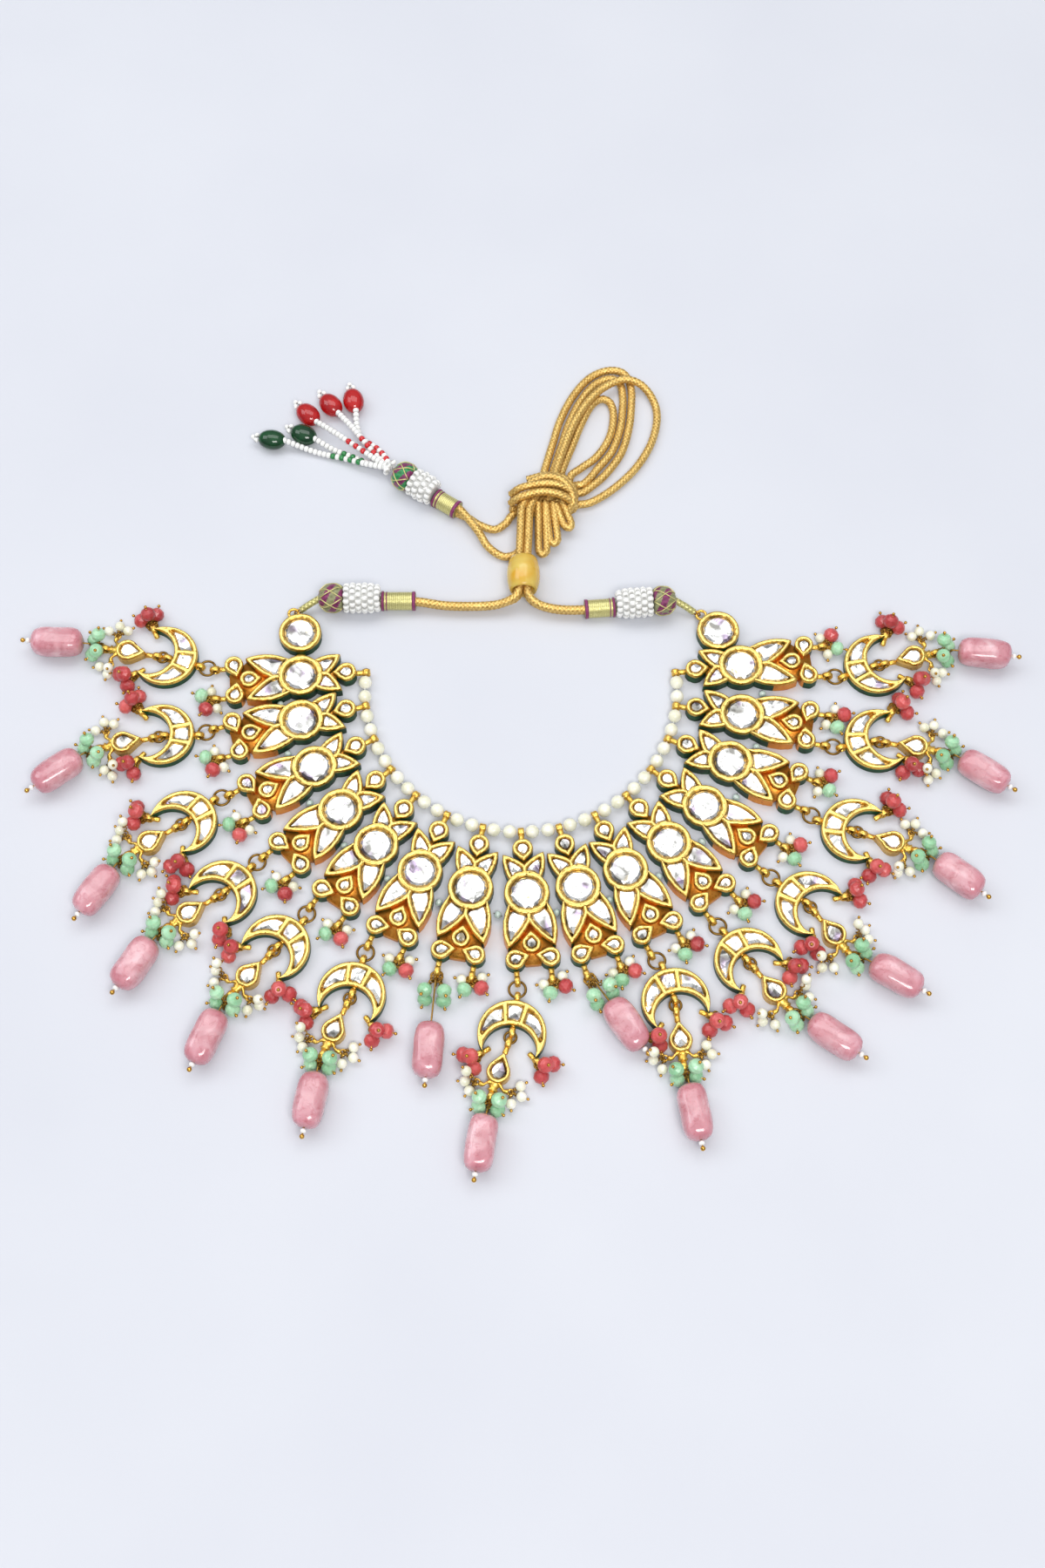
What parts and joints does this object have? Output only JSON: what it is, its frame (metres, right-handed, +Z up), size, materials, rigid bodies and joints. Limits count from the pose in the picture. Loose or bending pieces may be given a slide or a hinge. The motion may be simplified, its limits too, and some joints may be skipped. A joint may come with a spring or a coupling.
{
  "type": "necklace",
  "caption": "Collar necklace of gold-plated lotus settings with cut stones, crescent and bead drops, a pearl string, and a braided cord with slider bead, knot and tassel.",
  "frame": {"origin": "centre of the bottom of the bounding box of the necklace without its cord, on the surface it lies on", "axes": "+X to the wearer's left end as seen lying face up (longest side), +Y towards the cord, +Z up from the surface it lies on"},
  "size_m": [0.329, 0.2901, 0.0111],
  "materials": {
    "gold": "gold-plated, slightly pitted, dark green enamel on the walls",
    "stone": "clear foil-backed cut stones",
    "pearl": "creamy imitation pearl",
    "thread": "fine thread",
    "wire": "antique gold wire",
    "coral": "faceted coral glass",
    "mint": "faceted mint glass",
    "mixed_beads": "coral, mint and pearl beads",
    "pink": "cloudy pink glass",
    "dori": "braided gold-thread cord",
    "amber_glass": "amber glass",
    "gold_thread": "wound gold thread",
    "seed_white": "white seed beads",
    "purple_thread": "wound purple and green thread",
    "tassel_beads": "seed beads and oval glass drops"
  },
  "bodies": {
    "root": {"lotus_setting_01": "gold", "lotus_setting_02": "gold", "lotus_setting_03": "gold", "lotus_setting_04": "gold", "lotus_setting_05": "gold", "lotus_setting_06": "gold", "lotus_setting_07": "gold", "lotus_setting_08": "gold", "lotus_setting_09": "gold", "lotus_setting_10": "gold", "lotus_setting_11": "gold", "lotus_setting_12": "gold", "lotus_setting_13": "gold", "lotus_setting_14": "gold", "lotus_setting_15": "gold", "crescent_01": "gold", "crescent_02": "gold", "crescent_03": "gold", "crescent_04": "gold", "crescent_05": "gold", "crescent_06": "gold", "crescent_08": "gold", "crescent_10": "gold", "crescent_11": "gold", "crescent_12": "gold", "crescent_13": "gold", "crescent_14": "gold", "crescent_15": "gold", "drop_settings": "gold", "centre_stones": "stone", "petal_stones": "stone", "string_pearls": "pearl", "pearl_thread": "thread", "jump_rings": "wire", "coral_bunches": "coral", "mint_bunches": "mint", "leaf_bunches": "mixed_beads", "pink_beads_left": "pink", "pink_beads_right": "pink", "pink_pins": "wire", "cord_left_a": "dori", "cord_left_b": "dori", "cord_right_a": "dori", "cord_right_b": "dori", "loop_a": "dori", "loop_b": "dori", "loop_c": "dori", "loop_d": "dori", "tail_a": "dori", "tail_b": "dori", "knot": "dori", "slider_bead": "amber_glass", "cord_wraps": "gold_thread", "seed_sleeves": "seed_white", "thread_beads": "purple_thread", "end_threads": "gold_thread", "tassel": "tassel_beads"}
  },
  "joints": []
}
